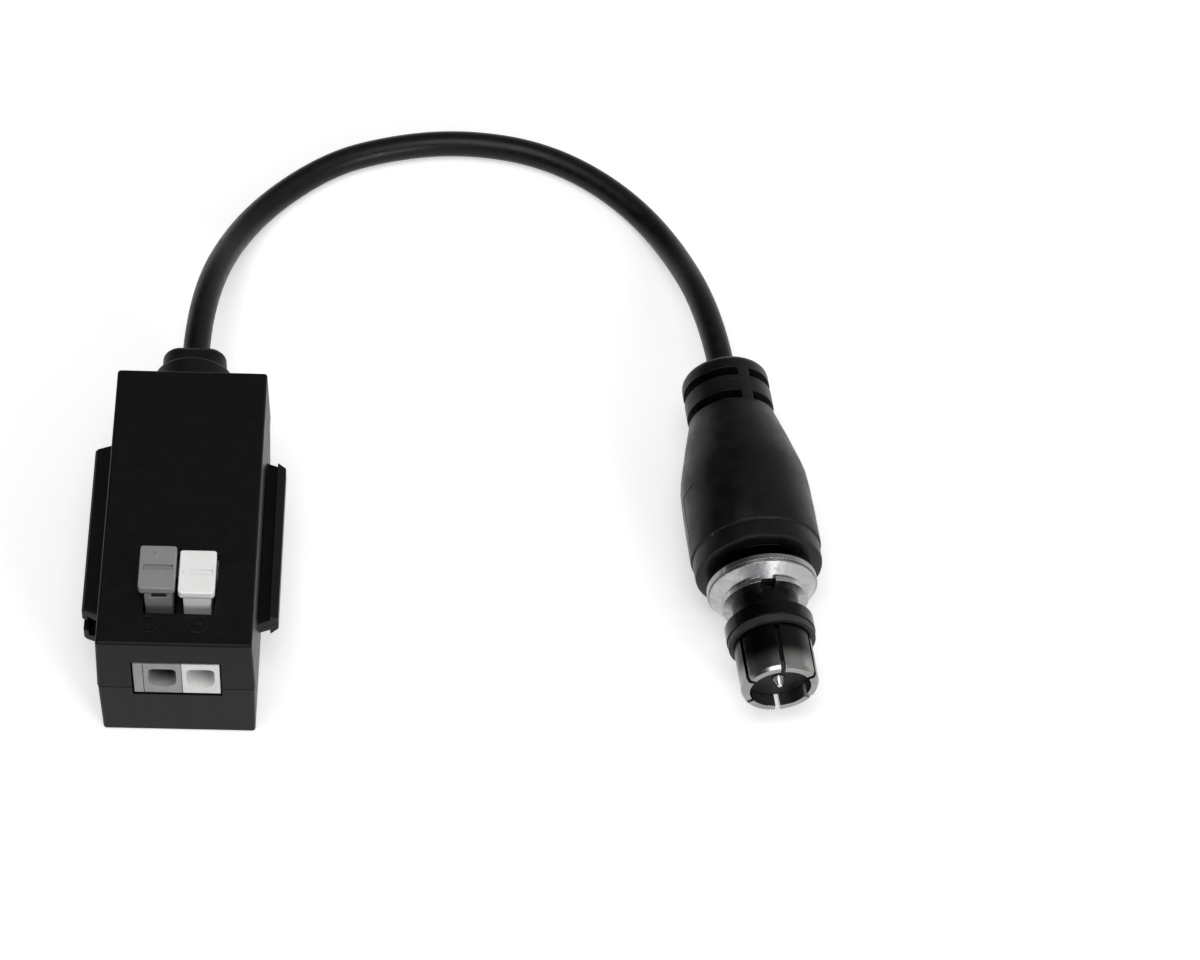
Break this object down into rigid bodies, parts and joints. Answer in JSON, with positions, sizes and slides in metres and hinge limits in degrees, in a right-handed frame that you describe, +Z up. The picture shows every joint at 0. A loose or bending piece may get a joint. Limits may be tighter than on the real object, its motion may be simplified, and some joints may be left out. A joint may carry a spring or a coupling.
{
  "type": "video balun",
  "caption": "Small black video balun with push-lever wire terminals, stacking side rails and a short coaxial lead to a bayonet plug.",
  "frame": {"origin": "bottom centre of the housing, on the surface that it rests on; the lead, relief and plug are left out of that box", "axes": "+Z up through the lever side, -Y toward the wire entries, +Y toward the lead, +X toward the male side rail and the plug"},
  "size_m": [0.081, 0.0833, 0.0191],
  "materials": {
    "housing": "satin black ABS",
    "relief_rubber": "matt black moulded PVC",
    "cable_jacket": "satin black PVC",
    "terminal_grey": "satin grey nylon",
    "terminal_white": "satin white nylon",
    "lever_grey": "satin grey nylon",
    "lever_white": "satin white nylon",
    "spring_steel": "bright spring steel",
    "tinned_copper": "tin-plated copper",
    "board_laminate": "green solder mask",
    "ferrite": "dark sintered ferrite",
    "winding_copper": "enamelled copper wire",
    "chip_black": "black moulded chip",
    "chip_tan": "ceramic chip",
    "boot_black": "satin black moulded PVC",
    "nickel": "bright nickel plating on brass",
    "insulator_dark": "dark moulded insulator",
    "contact_bright": "bright plated contact",
    "gasket_rubber": "black silicone"
  },
  "bodies": {
    "housing": {"upper_shell": "housing", "lower_shell": "housing", "strain_relief": "relief_rubber", "coax_cable": "cable_jacket", "terminal_end_plate": "terminal_grey", "grey_terminal_module": "terminal_grey", "white_terminal_module": "terminal_white", "grey_clamp_spring": "spring_steel", "white_clamp_spring": "spring_steel", "grey_contact": "tinned_copper", "white_contact": "tinned_copper", "circuit_board": "board_laminate", "toroid_core": "ferrite", "toroid_winding": "winding_copper", "surge_diode": "chip_black", "chip_capacitor": "chip_tan", "cable_centre_lead": "tinned_copper", "cable_screen_lead": "tinned_copper", "plug_boot": "boot_black", "crimp_ferrule": "nickel", "plug_body": "nickel", "plug_insulator": "insulator_dark", "centre_pin": "contact_bright", "sealing_gasket": "gasket_rubber", "retaining_ring": "spring_steel", "spring_washer": "spring_steel"},
    "grey_lever": {"grey_lever": "lever_grey"},
    "white_lever": {"white_lever": "lever_white"},
    "thrust_washer": {"thrust_washer": "nickel"},
    "coupling_nut": {"coupling_nut": "nickel"}
  },
  "joints": [
    {"name": "grey_lever_press", "type": "hinge", "parent": "housing", "child": "grey_lever", "pos_m": [-0.0014, -0.0072, 0.0142], "axis": [1, 0, 0], "range_deg": [0, 12], "stiffness_Nm_per_rad": 0.08, "deforming": ["grey_clamp_spring"]},
    {"name": "white_lever_press", "type": "hinge", "parent": "housing", "child": "white_lever", "pos_m": [0.0026, -0.0072, 0.0142], "axis": [1, 0, 0], "range_deg": [0, 12], "stiffness_Nm_per_rad": 0.08, "deforming": ["white_clamp_spring"]},
    {"name": "nut_pull", "type": "slide", "parent": "housing", "child": "thrust_washer", "axis": [0.1231, -0.9924, 0], "range_m": [0, 0.0006], "stiffness_N_per_m": 8000, "deforming": ["spring_washer"]},
    {"name": "nut_turn", "type": "hinge", "parent": "thrust_washer", "child": "coupling_nut", "pos_m": [0.0636, -0.016, 0.0073], "axis": [0.1231, -0.9924, 0], "continuous": true}
  ]
}
